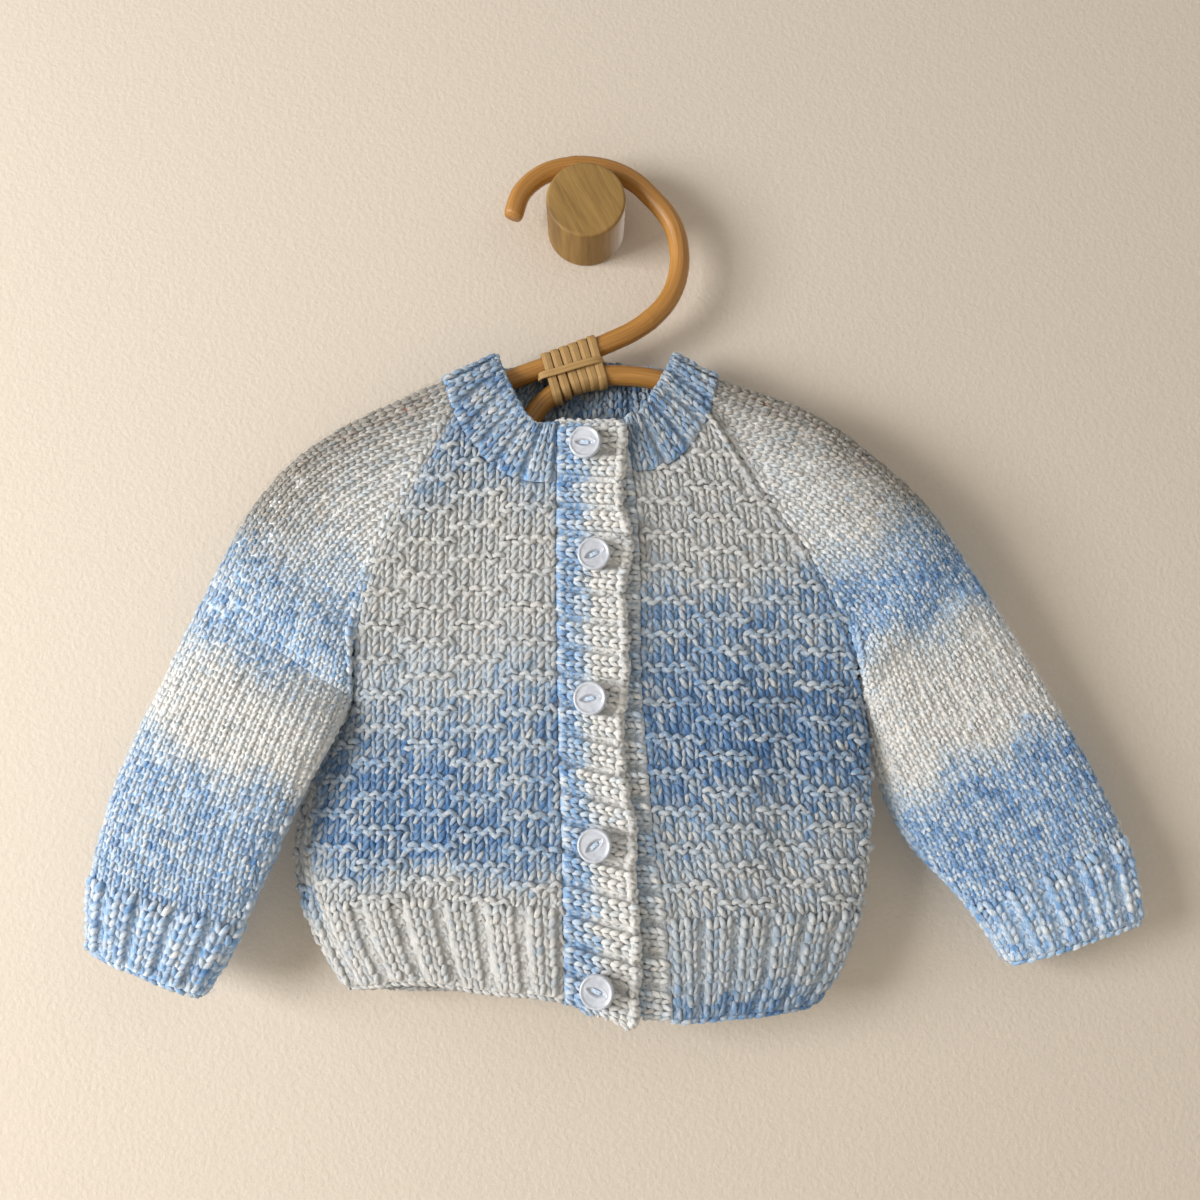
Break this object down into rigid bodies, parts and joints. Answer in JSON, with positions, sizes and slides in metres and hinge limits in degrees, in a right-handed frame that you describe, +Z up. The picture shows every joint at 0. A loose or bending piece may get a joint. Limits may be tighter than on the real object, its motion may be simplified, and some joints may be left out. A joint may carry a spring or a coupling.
{
  "type": "baby cardigan on a cane hanger and wall peg",
  "caption": "Hand-knitted newborn raglan cardigan with ribbed neck, cuffs, hem and buttoned front bands, hung flat on a bent cane hanger over a round wooden wall peg",
  "frame": {"origin": "middle of the wall peg's flat back, where it is fixed to a wall", "axes": "+Z up, +X to the right of someone who looks at the front, +Y out of the peg's back into the wall, and the cardigan's front faces -Y"},
  "size_m": [0.3901, 0.0428, 0.3414],
  "materials": {
    "back_knit": "stocking stitch with purl dashes in white and light blue marl yarn",
    "front_right_knit": "stocking stitch with purl dashes, blue in the middle and white at the hem",
    "front_left_knit": "stocking stitch with purl dashes, blue in the middle and pale below",
    "sleeve_right_knit": "stocking stitch in broad soft bands of white and light blue",
    "sleeve_left_knit": "stocking stitch in broad soft bands of white and light blue",
    "neckband_knit": "two by two rib in blue and white marl",
    "buttonhole_band_knit": "two by two rib, blue marl at the seam and cream at the free edge",
    "button_band_knit": "two by two rib in white and blue marl",
    "button": "pearl white, with an eye-shaped hollow",
    "cane_rod": "peeled golden cane, satin",
    "cane_binding": "split flat cane, matt",
    "birch": "bare turned birch, matt"
  },
  "bodies": {
    "root": {"back": "back_knit", "front_right": "front_right_knit", "front_left": "front_left_knit", "sleeve_right": "sleeve_right_knit", "sleeve_left": "sleeve_left_knit", "neckband": "neckband_knit", "buttonhole_band": "buttonhole_band_knit", "button_band": "button_band_knit", "button_1": "button", "button_2": "button", "button_3": "button", "button_4": "button", "button_5": "button", "hanger_rod": "cane_rod", "hanger_binding": "cane_binding", "wall_peg": "birch"}
  },
  "joints": []
}
